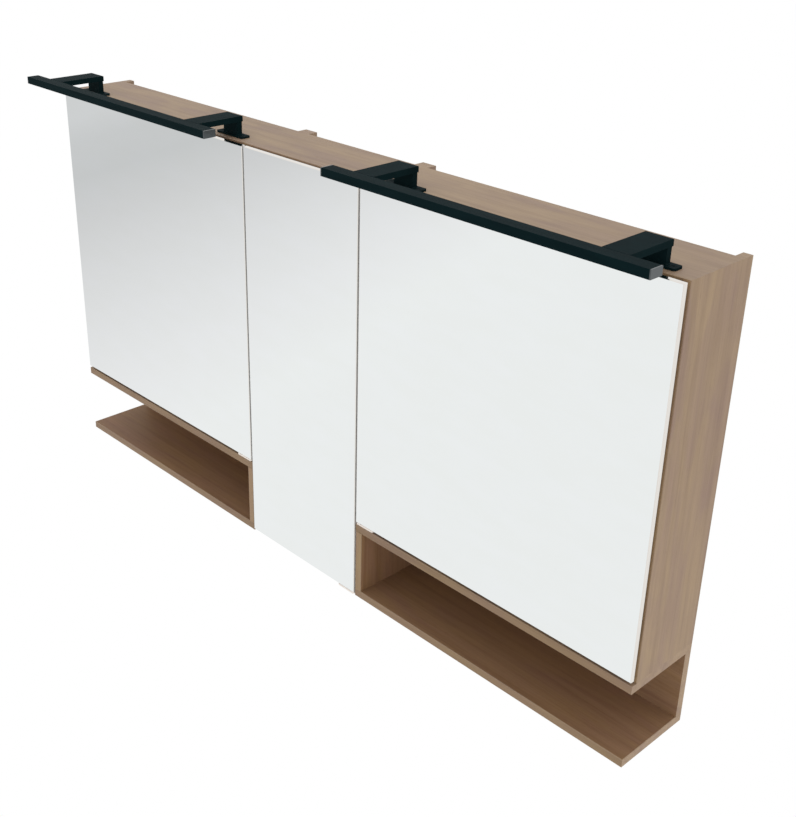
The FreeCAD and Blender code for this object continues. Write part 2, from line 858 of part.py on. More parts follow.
def magnet_catch(far_face, sign):
    """A catch on the upright at a door's opening edge, rounded at its front round a sunk magnet."""
    body = new_body("magnet_catch")
    flat = sketch(body, "XY_Plane", "-catch_height / 2")
    outline(flat, corners(around("0", "catch_width"), ("0", "catch_depth")))
    block = pad(body, flat, "catch_height")
    soften(body, "Fillet", block, [("z", {"y": "0"})], "catch_round")
    well = sketch(body, "XZ_Plane", "-magnet_recess")
    outline(well, corners(around("0", "magnet_width"), around("0", "magnet_height")))
    pocket(body, well, "magnet_recess")
    middle = f"{far_face} - {sign} * (board + catch_width / 2)"
    return place(body, middle, "door_back + strike_thick + catch_air", "catch_level")


def catches():
    return [group("magnet_catches", [magnet_catch(door[2], door[1]) for door in DOORS.values()])]


def lamp_bar(side):
    """An extruded lamp profile, open below, with its upper edges rounded."""
    body = new_body(side + "_lamp_bar")
    flat = sketch(body, "YZ_Plane", "-side_module / 2 + cap_thick")
    outline(flat, [
        ("0", "0"),
        ("lamp_wall", "0"),
        ("lamp_wall", "lamp_channel"),
        ("lamp_depth - lamp_wall", "lamp_channel"),
        ("lamp_depth - lamp_wall", "0"),
        ("lamp_depth", "0"),
        ("lamp_depth", "lamp_height"),
        ("0", "lamp_height"),
    ])
    profile = pad(body, flat, "side_module - 2 * cap_thick")
    soften(body, "Fillet", profile, [("x", {"z": "lamp_height"})], "lamp_round")
    sign = {"left": "-", "right": ""}[side]
    return place(body, sign + "lamp_centre", "lamp_rear - lamp_depth", "lamp_low")


def lamp_cap(side, way):
    """An end cap with the profile's outline."""
    body = new_body("lamp_cap")
    flat = sketch(body, "YZ_Plane", f"{way} * (side_module - cap_thick) / 2 - cap_thick / 2")
    outline(flat, corners(("0", "lamp_depth"), ("0", "lamp_height")))
    plate = pad(body, flat, "cap_thick")
    soften(body, "Fillet", plate, [("x", {"z": "lamp_height"})], "lamp_round")
    sign = {"left": "-", "right": ""}[side]
    return place(body, sign + "lamp_centre", "lamp_rear - lamp_depth", "lamp_low")


def lamp_bracket(middle):
    """A bracket: an arm flush with the lamp's top, an upright block and a flared foot with two screw seats."""
    body = new_body("lamp_bracket")
    foot_y = ("bracket_length + foot_rear - foot_depth", "bracket_length + foot_rear")
    foot = sketch(body, "YZ_Plane", "-foot_width / 2")
    outline(foot, corners(foot_y, ("0", "foot_thick")))
    sole = pad(body, foot, "foot_width")
    soften(body, "Fillet", sole, [("z", {})], "foot_round")
    upright = sketch(body, "YZ_Plane", "-upright_width / 2")
    rear = "bracket_length - upright_inset"
    front = rear + " - upright_thick"
    outline(upright, corners((front, rear), ("0", "lamp_rise - bracket_arm / 2")))
    post = pad(body, upright, "upright_width")
    joints = [("x", {"y": front, "z": "foot_thick"}), ("x", {"y": rear, "z": "foot_thick"})]
    joints += [("y", {"x": f"{way} * upright_width / 2", "z": "foot_thick"}) for way in (-1, 1)]
    soften(body, "Fillet", post, joints, "foot_flare")
    arm = sketch(body, "YZ_Plane", "-bracket_width / 2")
    outline(arm, corners(("0", "bracket_length"), ("lamp_rise - bracket_arm", "lamp_rise")))
    solid = pad(body, arm, "bracket_width")
    soften(body, "Fillet", solid, [("x", {"y": "bracket_length", "z": "lamp_rise"})], "bracket_round")
    seat = "foot_thick - screw_head"
    for low, deep, radius in (("0", seat, "screw_radius"), (seat, "screw_head", "screw_head_radius")):
        holes = sketch(body, "XY_Plane", low)
        for way in (-1, 1):
            spot = f"{way} * (foot_width / 2 - foot_screw_inset)"
            ring(holes, spot, middle_of(foot_y), radius + " + hole_clear")
        pocket(body, holes, deep)
    return place(body, middle, "lamp_rear", "height")


def foot_screw(x):
    """A screw sunk flush in the bracket's foot."""
    head = ("height + foot_thick - screw_head", "height + foot_thick")
    shank = ("height - screw_bite", "height + foot_thick - screw_head")
    return fuse("foot_screw", [
        rod("foot_screw_head", "z", head, x, "foot_middle", "screw_head_radius"),
        rod("foot_screw_shank", "z", shank, x, "foot_middle", "screw_radius"),
    ])


def lamps():
    pieces = []
    brackets = []
    caps = []
    strips = []
    diffusers = []
    screws = []
    front = "(lamp_rear - lamp_depth)"
    for side in ("left", "right"):
        low, high = MODULES[side][:2]
        length = (f"{low} + cap_thick", f"{high} - cap_thick")
        pieces.append(lamp_bar(side))
        brackets += [lamp_bracket(spot) for spot in bracket_middles(side)]
        caps += [lamp_cap(side, way) for way in (-1, 1)]
        strip_y = around(f"{front} + lamp_depth / 2", "led_width")
        strip_z = ("lamp_low + lamp_channel - led_thick", "lamp_low + lamp_channel")
        strips.append(box("led_strip", length, strip_y, strip_z))
        inner = (f"{front} + lamp_wall + diffuser_clear", "lamp_rear - lamp_wall - diffuser_clear")
        rise = ("lamp_low + diffuser_recess", "lamp_low + diffuser_recess + diffuser_thick")
        diffusers.append(box("diffuser", length, inner, rise))
        screws += [foot_screw(spot) for spot in foot_screw_places(side)]
    pieces.append(group("lamp_brackets", brackets))
    pieces.append(group("lamp_end_caps", caps))
    pieces.append(group("led_strips", strips))
    pieces.append(group("lamp_diffusers", diffusers))
    pieces.append(group("bracket_screws", screws))
    return pieces


def led_driver():
    """A flat lamp supply behind the centre back panel, with lowered end covers, ears and a cable inlet."""
    body = new_body("led_driver")
    flat = sketch(body, "XZ_Plane", "-driver_depth")
    outline(flat, corners(around("0", "driver_length"), ("-driver_height", "0")))
    block = pad(body, flat, "driver_depth")
    soften(body, "Fillet", block, [("y", {})], "driver_round")
    for way in (-1, 1):
        step = sketch(body, "XZ_Plane", "-driver_depth")
        end = span("0", way, "driver_length / 2 - driver_cover", "driver_length / 2")
        outline(step, corners(end, ("-driver_height", "0")))
        pocket(body, step, "driver_step")
    ears = sketch(body, "XZ_Plane", "-ear_thick")
    ear_span = around("0", "driver_length + 2 * ear_reach")
    outline(ears, corners(ear_span, around("-driver_height / 2", "ear_height")))
    pad(body, ears, "ear_thick")
    holes = sketch(body, "XZ_Plane", "-ear_thick")
    for way in (-1, 1):
        ring(holes, f"{way} * ear_place", "-driver_height / 2", "screw_radius + hole_clear")
    pocket(body, holes, "ear_thick")
    inlet = sketch(body, "YZ_Plane", "driver_length / 2")
    ring(inlet, "(driver_depth - driver_step) / 2", "-driver_height * 3 / 4", "inlet_radius")
    pad(body, inlet, "inlet_length")
    return place(body, "0", "back_rear", "top_under - driver_top")


def switch_box():
    """A switch housing under the centre top board, with an open front for the rocker and axle bores."""
    body = new_body("switch_box")
    flat = sketch(body, "XY_Plane", "-switch_height / 2")
    depth = ("-rocker_pivot", "switch_depth - rocker_pivot")
    outline(flat, corners(around("0", "switch_width"), depth))
    block = pad(body, flat, "switch_height")
    soften(body, "Fillet", block, [("z", {"y": "-rocker_pivot"})], "switch_round")
    mouth = sketch(body, "XY_Plane", "-rocker_height / 2 - rocker_swing_clear")
    inner = ("-rocker_pivot", "rocker_tail + rocker_swing_clear")
    outline(mouth, corners(around("0", "rocker_width + 2 * rocker_side_clear"), inner))
    pocket(body, mouth, "rocker_height + 2 * rocker_swing_clear")
    bores = sketch(body, "YZ_Plane", "-rocker_width / 2 - rocker_axle_reach - rocker_side_clear")
    ring(bores, "0", "0", "rocker_axle_radius + running_clear")
    pocket(body, bores, "rocker_width + 2 * rocker_axle_reach + 2 * rocker_side_clear")
    return place(body, "switch_x", "pivot_y", "switch_z")


def rocker():
    """The rocker: a dished front, a narrower tail and an axle stub on each side, tilted to off."""
    body = new_body("switch_rocker")
    flat = sketch(body, "YZ_Plane", "-rocker_width / 2")
    outline(flat, [
        ("-rocker_depth", "-rocker_height / 2"),
        ("0", "-rocker_height / 2"),
        ("rocker_tail", "-rocker_height / 4"),
        ("rocker_tail", "rocker_height / 4"),
        ("0", "rocker_height / 2"),
        ("-rocker_depth", "rocker_height / 2"),
        ("rocker_dish - rocker_depth", "0"),
    ])
    pad(body, flat, "rocker_width")
    axle = sketch(body, "YZ_Plane", "-rocker_width / 2 - rocker_axle_reach")
    ring(axle, "0", "0", "rocker_axle_radius")
    pad(body, axle, "rocker_width + 2 * rocker_axle_reach")
    body.Placement = Placement(Vector(), Rotation(Vector(1, 0, 0), -value("rocker_tilt")))
    return place(body, "switch_x", "pivot_y", "switch_z")


def door_width(door):
    face, sign, far_face = DOORS[door][:3]
    return (f"{face} + {sign} * door_reveal", f"{far_face} - {sign} * door_reveal")


def door_mirror(door):
    """A mirror pane with a ground arris round its front."""
    body = new_body(door + "_door_mirror")
    flat = sketch(body, "XZ_Plane", "0")
    outline(flat, corners(door_width(door), (DOORS[door][3], "door_high")))
    pane = pad(body, flat, "mirror_thick")
    rim = {"y": "-mirror_thick"}
    soften(body, "Chamfer", pane, [("x", rim), ("z", rim)], "mirror_bevel")
    return place(body, "0", "glass_back", "0")


def door_core(door):
    """The board that carries the mirror, with pockets for the cups behind a thin skin at its hinge edge."""
    face, sign, far_face, low = DOORS[door]
    label = door + "_door_core"
    edges = door_width(door)
    width = edges if sign > 0 else edges[::-1]
    deep = ("glass_back", "door_back")
    blank = box(label + "_blank", width, deep, (low, "door_high"))
    across = span(face, sign, "door_reveal + cup_edge", "hinge_x + cup_reach")
    cup_pockets = [box(label + "_cup_pocket", across, deep, around(level, "cup_height"))
                   for level in hinge_levels(door)]
    return cut(label, blank, cup_pockets)


def finger_pull(door):
    """A clear angle under the door's opening corner: a lip below the edge and a leg behind the core."""
    face, sign, far_face, low = DOORS[door]
    body = new_body(door + "_finger_pull")
    edge = f"{far_face} - {sign} * (door_reveal + pull_inset)"
    across = span("0", -sign, "0", "pull_width")
    flat = sketch(body, "YZ_Plane", across[0])
    outline(flat, [
        ("0", "-pull_thick"),
        ("mirror_thick + core_thick + pull_leg_thick", "-pull_thick"),
        ("mirror_thick + core_thick + pull_leg_thick", "pull_leg"),
        ("mirror_thick + core_thick", "pull_leg"),
        ("mirror_thick + core_thick", "0"),
        ("0", "0"),
    ])
    angle = pad(body, flat, "pull_width")
    soften(body, "Fillet", angle, [("z", {"y": "0"})], "pull_round")
    return place(body, edge, "door_front", low)


def bumper(x, z):
    """A soft stud on the door's back, bevelled where it meets the upright."""
    body = new_body("bumper")
    flat = sketch(body, "XZ_Plane", "0")
    outline(flat, [
        ("0", "0"),
        ("bumper_radius", "0"),
        ("bumper_radius", "door_gap - bumper_air - bumper_bevel"),
        ("bumper_radius - bumper_bevel", "door_gap - bumper_air"),
        ("0", "door_gap - bumper_air"),
    ])
    revolve(body, flat)
    body.Placement = Placement(Vector(), TURNS["y"])
    return place(body, x, "door_back", z)


def door_fittings(door):
    """What the door carries: hinge cups with pins, finger pull, bumpers and the catch's strike."""
    face, sign, far_face, low = DOORS[door]
    cups = [hinge_cup(door, level) for level in hinge_levels(door)]
    pins = [hinge_pin(door, level) for level in hinge_levels(door)]
    bumper_x = f"{far_face} - {sign} * board / 2"
    bumpers = [bumper(bumper_x, spot) for spot in (f"{low} + bumper_inset", "door_high - bumper_inset")]
    strike_x = f"{far_face} - {sign} * (board + catch_width / 2)"
    strike = rod(door + "_strike_plate", "y", ("door_back", "door_back + strike_thick"), strike_x,
                 "catch_level", "strike_radius")
    return [
        group(door + "_hinge_cups", cups + pins),
        finger_pull(door),
        group(door + "_bumpers", bumpers),
        strike,
    ]


def doors():
    pieces = []
    for door in DOORS:
        pieces.append(door_mirror(door))
        pieces.append(door_core(door))
        pieces += door_fittings(door)
    return pieces


nodes = carcass() + niches() + shelves() + hanging() + hinges() + cabinet_screws() + catches() + lamps()
nodes += [led_driver(), switch_box(), rocker()] + doors()
doc.recompute()

failed = [item.Label for item in doc.Objects if "Invalid" in item.State or "Error" in item.State]
failed += [piece.Label for piece in nodes if piece.Shape.isNull() or not piece.Shape.isValid()]
if failed:
    raise RuntimeError("failed pieces: " + ", ".join(failed))

os.makedirs("parts", exist_ok=True)
for piece in nodes:
    piece.Shape.exportStep(f"parts/{piece.Label}.step")
    print(piece.Label, len(piece.Shape.Solids), "solids", round(piece.Shape.Volume), "mm3")
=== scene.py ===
"""Looks of the wall-hung mirror cabinet: materials, cross-headed screws, floor, light and camera.

Lengths are in metres in the part's own frame: +X to the right, +Y into the wall, +Z up.
"""

import json
from math import radians, tau

import bmesh
import bpy
from mathutils import Matrix, Vector


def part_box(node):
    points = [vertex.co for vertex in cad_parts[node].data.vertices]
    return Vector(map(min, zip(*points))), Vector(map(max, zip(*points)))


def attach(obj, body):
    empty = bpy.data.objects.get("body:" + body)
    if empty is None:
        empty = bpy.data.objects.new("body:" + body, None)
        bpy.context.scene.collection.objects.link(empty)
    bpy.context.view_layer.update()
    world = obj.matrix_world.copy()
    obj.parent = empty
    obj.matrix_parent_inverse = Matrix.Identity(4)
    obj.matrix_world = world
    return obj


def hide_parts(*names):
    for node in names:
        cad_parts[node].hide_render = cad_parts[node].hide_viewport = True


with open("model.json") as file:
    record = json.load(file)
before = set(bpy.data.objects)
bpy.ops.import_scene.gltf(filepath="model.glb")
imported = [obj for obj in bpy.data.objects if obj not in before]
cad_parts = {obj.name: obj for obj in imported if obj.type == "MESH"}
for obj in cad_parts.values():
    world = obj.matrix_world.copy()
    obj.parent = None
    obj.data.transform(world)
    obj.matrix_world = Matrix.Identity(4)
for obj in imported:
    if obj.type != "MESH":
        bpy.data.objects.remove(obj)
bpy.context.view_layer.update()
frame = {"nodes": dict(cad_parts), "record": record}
nodes = frame["nodes"]
subparts = frame["record"]["subparts"]

MM = 0.001
WHITE = "#ffffff"
CABINETS = ("left", "centre", "right")


def linear(code):
    """An sRGB hex colour as linear RGBA."""
    shares = [int(code[place:place + 2], 16) / 255 for place in (1, 3, 5)]
    lights = [share / 12.92 if share <= 0.04045 else ((share + 0.055) / 1.055) ** 2.4 for share in shares]
    return lights + [1.0]


def every(size):
    """The scale of a pattern whose blotches are about so many millimetres across."""
    return 1 / (size * MM)


def add(tree, kind, inputs=None, stops=(), **settings):
    """Add a node with its settings and links.

    An input takes a value, a socket or another node. The stops are a colour ramp's places and colours.
    """
    node = tree.nodes.new("ShaderNode" + kind)
    for name, setting in settings.items():
        setattr(node, name, setting)
    for name, given in (inputs or {}).items():
        if isinstance(given, bpy.types.Node):
            given = given.outputs[0]
        if isinstance(given, bpy.types.NodeSocket):
            tree.links.new(given, node.inputs[name])
        else:
            node.inputs[name].default_value = given
    for number, (place, code) in enumerate(stops):
        steps = node.color_ramp.elements
        step = steps[number] if number < len(steps) else steps.new(place)
        step.position = place
        step.color = linear(code)
    return node


def blank(name):
    """A material with an empty tree, and the part's own coordinates in it."""
    material = bpy.data.materials.new(name)
    material.use_nodes = True
    tree = material.node_tree
    tree.nodes.clear()
    return material, tree, add(tree, "TexCoord").outputs["Object"]


# Boards


def board_decor(name, grain, sheen, hues):
    """Melamine-faced chipboard with an oak print that is embossed in the press.

    The eye gets rosy and straw patches under faint long streaks, and fine pores that break a satin gloss.
    """
    material, tree, place = blank(name)
    # Blotches across and along the grain in millimetres. The print's fibres are about 0.5 mm wide
    # and its pores 0.3 x 6 mm, and both are drawn coarser so that they show in the render.
    blotches = {"patch": (42, 170), "flame": (12, 280), "fibre": (2, 90), "pore": (1.1, 14)}
    drawn = {}
    for pattern, (across, length) in blotches.items():
        scale = [every(length if axis == grain else across) for axis in "xyz"]
        drawn[pattern] = add(tree, "Mapping", {"Vector": place, "Scale": scale})
    patch = add(tree, "TexNoise", {"Vector": drawn["patch"], "Scale": 1.0, "Detail": 2.0, "Distortion": 0.8})
    flame = add(tree, "TexNoise", {"Vector": drawn["flame"], "Scale": 1.0, "Detail": 3.0, "Distortion": 0.3})
    fibre = add(tree, "TexNoise", {"Vector": drawn["fibre"], "Scale": 1.0, "Detail": 2.0})
    pore = add(tree, "TexNoise", {"Vector": drawn["pore"], "Scale": 1.0, "Detail": 1.0})
    colour = add(tree, "ValToRGB", {"Fac": patch}, stops=zip((0.34, 0.5, 0.66), hues))
    streak = add(tree, "ValToRGB", {"Fac": flame}, stops=[(0.3, "#e6e1dd"), (0.5, "#f6f5f3"), (0.72, WHITE)])
    hair = add(tree, "ValToRGB", {"Fac": fibre}, stops=[(0.3, "#e9e5e2"), (0.6, WHITE)])
    pit = add(tree, "ValToRGB", {"Fac": pore}, stops=[(0.27, "#c4b8ae"), (0.36, WHITE)])
    for layer, share in ((streak, 0.9), (hair, 0.55), (pit, 0.3)):
        colour = add(tree, "MixRGB", {"Fac": share, "Color1": colour, "Color2": layer}, blend_type="MULTIPLY")
    shader = add(tree, "BsdfPrincipled", {
        "Base Color": colour,
        "Roughness": add(tree, "MapRange", {"Value": flame, "To Min": 0.5, "To Max": 0.62}),
        "IOR": 1.5,
        "Specular IOR Level": sheen,
        "Normal": add(tree, "Bump", {"Height": pore, "Distance": 0.05 * MM, "Strength": 0.5}),
    })
    add(tree, "OutputMaterial", {"Surface": shader})
    return material


def back_panel():
    """Hardboard of pressed fibre, bare at the rear: matt brown with a felt-like fleck."""
    material, tree, place = blank("hardboard_pressed_fibre")
    # Single fibres are about 0.1 mm wide; the fleck is drawn 4 mm wide so that it shows.
    felt = add(tree, "TexNoise", {"Vector": place, "Scale": every(4), "Detail": 3.0})
    cloud = add(tree, "TexNoise", {"Vector": place, "Scale": every(90), "Detail": 2.0})
    brown = add(tree, "ValToRGB", {"Fac": cloud}, stops=[(0.35, "#957e69"), (0.65, "#97806a")])
    fleck = add(tree, "ValToRGB", {"Fac": felt}, stops=[(0.35, "#d8cfc6"), (0.6, WHITE)])
    colour = add(tree, "MixRGB", {"Fac": 0.6, "Color1": brown, "Color2": fleck}, blend_type="MULTIPLY")
    shader = add(tree, "BsdfPrincipled", {
        "Base Color": colour,
        "Roughness": 0.75,
        "IOR": 1.5,
        "Normal": add(tree, "Bump", {"Height": felt, "Distance": 0.1 * MM, "Strength": 0.4}),
    })
    add(tree, "OutputMaterial", {"Surface": shader})
    return material


# Doors and shelves


def door_mirror():
    """Float glass, silvered behind: a clear flat reflection with the faintest wiping marks."""
    material, tree, place = blank("float_glass_silvered")
    strokes = add(tree, "Mapping", {"Vector": place, "Scale": (every(90), every(90), every(30))})
    wiped = add(tree, "TexNoise", {"Vector": strokes, "Scale": 1.0, "Detail": 2.0})
    shader = add(tree, "BsdfPrincipled", {
        "Base Color": add(tree, "ValToRGB", {"Fac": wiped}, stops=[(0.3, "#e9eceb"), (0.7, "#eaeded")]),
        "Metallic": 1.0,
        "Roughness": add(tree, "MapRange", {"Value": wiped, "To Min": 0.01, "To Max": 0.03}),
    })
    add(tree, "OutputMaterial", {"Surface": shader})
    return material


def door_edge():
    """Polished foil on the door's outer edge: it gives back the pale room and the dark brackets over it."""
    material, tree, place = blank("foil_polished_edge")
    drag = add(tree, "Mapping", {"Vector": place, "Scale": (every(40), every(3), every(40))})
    haze = add(tree, "TexNoise", {"Vector": drag, "Scale": 1.0, "Detail": 2.0})
    shader = add(tree, "BsdfPrincipled", {
        "Base Color": add(tree, "ValToRGB", {"Fac": haze}, stops=[(0.3, "#e0dbd5"), (0.7, "#e6e2dc")]),
        "Metallic": 1.0,
        "Roughness": add(tree, "MapRange", {"Value": haze, "To Min": 0.06, "To Max": 0.14}),
    })
    add(tree, "OutputMaterial", {"Surface": shader})
    return material


def pane_edge_with_painted_seam_shade():
    """Float glass with a ground edge, seen between two doors: matt grey with upright scratches, the grey also
    being the seams' painted shade.
    """
    material, tree, place = blank("float_glass_ground_edge")
    # The wheel's scratches are about 0.1 mm wide; drawn 3 mm wide so that they show.
    strokes = add(tree, "Mapping", {"Vector": place, "Scale": (every(3), every(3), every(20))})
    scratch = add(tree, "TexNoise", {"Vector": strokes, "Scale": 1.0, "Detail": 2.0})
    shader = add(tree, "BsdfPrincipled", {
        "Base Color": add(tree, "ValToRGB", {"Fac": scratch}, stops=[(0.3, "#b0b3b2"), (0.7, "#babdbc")]),
        "Roughness": add(tree, "MapRange", {"Value": scratch, "To Min": 0.5, "To Max": 0.65}),
        "IOR": 1.52,
    })
    add(tree, "OutputMaterial", {"Surface": shader})
    return material


def door_core():
    """Fibreboard with sprayed cream lacquer: smooth, with a slight mottle and the spray's fine peel."""
    material, tree, place = blank("fibreboard_cream_lacquer_sprayed")
    mottle = add(tree, "TexNoise", {"Vector": place, "Scale": every(60), "Detail": 2.0})
    peel = add(tree, "TexNoise", {"Vector": place, "Scale": every(2), "Detail": 1.0})
    shader = add(tree, "BsdfPrincipled", {
        "Base Color": add(tree, "ValToRGB", {"Fac": mottle}, stops=[(0.3, "#ece6e1"), (0.7, "#efe9e5")]),
        "Roughness": add(tree, "MapRange", {"Value": mottle, "To Min": 0.38, "To Max": 0.5}),
        "IOR": 1.5,
        "Normal": add(tree, "Bump", {"Height": peel, "Distance": 0.02 * MM, "Strength": 0.3}),
    })
    add(tree, "OutputMaterial", {"Surface": shader})
    return material


def glass_shelf():
    """Clear float glass with polished edges: see-through with a green tinge."""
    material, tree, place = blank("float_glass_clear_polished")
    strokes = add(tree, "Mapping", {"Vector": place, "Scale": (every(70), every(70), every(20))})
    wiped = add(tree, "TexNoise", {"Vector": strokes, "Scale": 1.0, "Detail": 2.0})
    shader = add(tree, "BsdfPrincipled", {
        "Base Color": add(tree, "ValToRGB", {"Fac": wiped}, stops=[(0.3, "#e4f1ec"), (0.7, "#ecf6f2")]),
        "Roughness": add(tree, "MapRange", {"Value": wiped, "To Min": 0.0, "To Max": 0.02}),
        "IOR": 1.52,
        "Transmission Weight": 1.0,
    })
    add(tree, "OutputMaterial", {"Surface": shader})
    return material


def bumper():
    """Soft cast polyurethane: milky and half clear, with a satin skin."""
    material, tree, place = blank("polyurethane_soft_cast")
    cloud = add(tree, "TexNoise", {"Vector": place, "Scale": every(4), "Detail": 1.0})
    shader = add(tree, "BsdfPrincipled", {
        "Base Color": add(tree, "ValToRGB", {"Fac": cloud}, stops=[(0.3, "#cfcfcc"), (0.7, "#dededb")]),
        "Roughness": add(tree, "MapRange", {"Value": cloud, "To Min": 0.4, "To Max": 0.55}),
        "IOR": 1.5,
        "Transmission Weight": 0.3,
    })
    add(tree, "OutputMaterial", {"Surface": shader})
    return material


# Fittings


def plated_steel(name, dark, pale, roughness, lines):
    """Plated steel, drawn or rolled: a bright metal whose gloss is broken by fine lines.

    The lines are about 0.1 mm wide and are drawn 2 mm wide so that they show.
    """
    material, tree, place = blank(name)
    drag = add(tree, "Mapping", {"Vector": place, "Scale": [every(size) for size in lines]})
    line = add(tree, "TexNoise", {"Vector": drag, "Scale": 1.0, "Detail": 2.0})
    haze = add(tree, "TexNoise", {"Vector": place, "Scale": every(12), "Detail": 2.0})
    spread = 0.07
    shader = add(tree, "BsdfPrincipled", {
        "Base Color": add(tree, "ValToRGB", {"Fac": haze}, stops=[(0.3, dark), (0.7, pale)]),
        "Metallic": 1.0,
        "Roughness": add(tree, "MapRange", {
            "Value": line, "To Min": roughness - spread, "To Max": roughness + spread}),
        "Normal": add(tree, "Bump", {"Height": line, "Distance": 0.01 * MM, "Strength": 0.3}),
    })
    add(tree, "OutputMaterial", {"Surface": shader})
    return material


def moulded_plastic(name, dark, pale, ior, roughness, grain):
    """Moulded plastic: an even colour under the fine grain of a spark-eroded mould.

    The grain is about 0.1 mm wide and is drawn a millimetre or more wide so that it shows.
    """
    material, tree, place = blank(name)
    pebble = add(tree, "TexNoise", {"Vector": place, "Scale": every(grain), "Detail": 2.0})
    cloud = add(tree, "TexNoise", {"Vector": place, "Scale": every(30), "Detail": 2.0})
    spread = 0.06
    shader = add(tree, "BsdfPrincipled", {
        "Base Color": add(tree, "ValToRGB", {"Fac": cloud}, stops=[(0.3, dark), (0.7, pale)]),
        "Roughness": add(tree, "MapRange", {
            "Value": pebble, "To Min": roughness - spread, "To Max": roughness + spread}),
        "IOR": ior,
        "Normal": add(tree, "Bump", {"Height": pebble, "Distance": 0.03 * MM, "Strength": 0.35}),
    })
    add(tree, "OutputMaterial", {"Surface": shader})
    return material


def catch_magnet():
    """Sintered ferrite with a ground face: dull charcoal with a fine grit."""
    material, tree, place = blank("ferrite_sintered_ground")
    # The grit is about 0.1 mm wide; drawn 0.8 mm wide so that it shows.
    grit = add(tree, "TexNoise", {"Vector": place, "Scale": every(0.8), "Detail": 2.0})
    shader = add(tree, "BsdfPrincipled", {
        "Base Color": add(tree, "ValToRGB", {"Fac": grit}, stops=[(0.3, "#2f3032"), (0.7, "#434446")]),
        "Roughness": add(tree, "MapRange", {"Value": grit, "To Min": 0.5, "To Max": 0.65}),
        "IOR": 2.3,
        "Normal": add(tree, "Bump", {"Height": grit, "Distance": 0.02 * MM, "Strength": 0.4}),
    })
    add(tree, "OutputMaterial", {"Surface": shader})
    return material


# Lamps

LAMP_BLACK = [(0.3, "#081a1d"), (0.7, "#0b1f22")]
LAMP_SHEEN = 0.03


def lamp_bar():
    """Black anodised aluminium, extruded: a dull blue-black dye hides the metal, with lines along the bar."""
    material, tree, place = blank("aluminium_black_anodised")
    # The die's lines are about 0.1 mm wide; drawn 1.2 mm wide so that they show.
    drag = add(tree, "Mapping", {"Vector": place, "Scale": (every(400), every(1.2), every(1.2))})
    line = add(tree, "TexNoise", {"Vector": drag, "Scale": 1.0, "Detail": 2.0})
    length = add(tree, "Mapping", {"Vector": place, "Scale": (every(80), every(12), every(12))})
    cloud = add(tree, "TexNoise", {"Vector": length, "Scale": 1.0, "Detail": 2.0})
    shader = add(tree, "BsdfPrincipled", {
        "Base Color": add(tree, "ValToRGB", {"Fac": cloud}, stops=LAMP_BLACK),
        "Roughness": add(tree, "MapRange", {"Value": line, "To Min": 0.55, "To Max": 0.68}),
        "Specular IOR Level": LAMP_SHEEN,
        "Normal": add(tree, "Bump", {"Height": line, "Distance": 0.01 * MM, "Strength": 0.4}),
    })
    add(tree, "OutputMaterial", {"Surface": shader})
    return material


def lamp_bracket():
    """Powder-coated steel: the bars' dull blue-black, with the coat's fine pebbling."""
    material, tree, place = blank("steel_black_powder_coated")
    # The coat's pebbles are about 0.3 mm wide; drawn 1.4 mm wide so that they show.
    pebble = add(tree, "TexNoise", {"Vector": place, "Scale": every(1.4), "Detail": 2.0})
    cloud = add(tree, "TexNoise", {"Vector": place, "Scale": every(25), "Detail": 2.0})
    shader = add(tree, "BsdfPrincipled", {
        "Base Color": add(tree, "ValToRGB", {"Fac": cloud}, stops=LAMP_BLACK),
        "Roughness": add(tree, "MapRange", {"Value": pebble, "To Min": 0.58, "To Max": 0.7}),
        "IOR": 1.5,
        "Specular IOR Level": LAMP_SHEEN,
        "Normal": add(tree, "Bump", {"Height": pebble, "Distance": 0.04 * MM, "Strength": 0.5}),
    })
    add(tree, "OutputMaterial", {"Surface": shader})
    return material


def led_strip():
    """Circuit tape with white solder lacquer: satin white, with a yellow phosphor chip every 17 mm."""
    material, tree, place = blank("circuit_tape_white_lacquered")
    chip_step = 17 * MM
    chip_length = 5 * MM
    along = add(tree, "SeparateXYZ", {"Vector": place}).outputs["X"]
    turn = add(tree, "Math", {0: along, 1: chip_step, 2: 0.0}, operation="WRAP")
    chip = add(tree, "Math", {0: turn, 1: chip_length}, operation="LESS_THAN")
    speck = add(tree, "TexNoise", {"Vector": place, "Scale": every(4), "Detail": 1.0})
    tape = add(tree, "ValToRGB", {"Fac": speck}, stops=[(0.3, "#e9e8e2"), (0.7, "#f3f2ee")])
    shader = add(tree, "BsdfPrincipled", {
        "Base Color": add(tree, "MixRGB", {"Fac": chip, "Color1": tape, "Color2": linear("#e3c75a")}),
        "Roughness": 0.5,
        "IOR": 1.5,
    })
    add(tree, "OutputMaterial", {"Surface": shader})
    return material


def lamp_diffuser():
    """Extruded opal acrylic: milky white with a satin skin, clouded along the bar."""
    material, tree, place = blank("acrylic_opal_extruded")
    drag = add(tree, "Mapping", {"Vector": place, "Scale": (every(60), every(8), every(8))})
    haze = add(tree, "TexNoise", {"Vector": drag, "Scale": 1.0, "Detail": 2.0})
    shader = add(tree, "BsdfPrincipled", {
        "Base Color": add(tree, "ValToRGB", {"Fac": haze}, stops=[(0.3, "#eceae4"), (0.7, "#f6f5f1")]),
        "Roughness": add(tree, "MapRange", {"Value": haze, "To Min": 0.38, "To Max": 0.48}),
        "IOR": 1.49,
        "Transmission Weight": 0.25,
    })
    add(tree, "OutputMaterial", {"Surface": shader})
    return material


# One finish for each of the record's slots

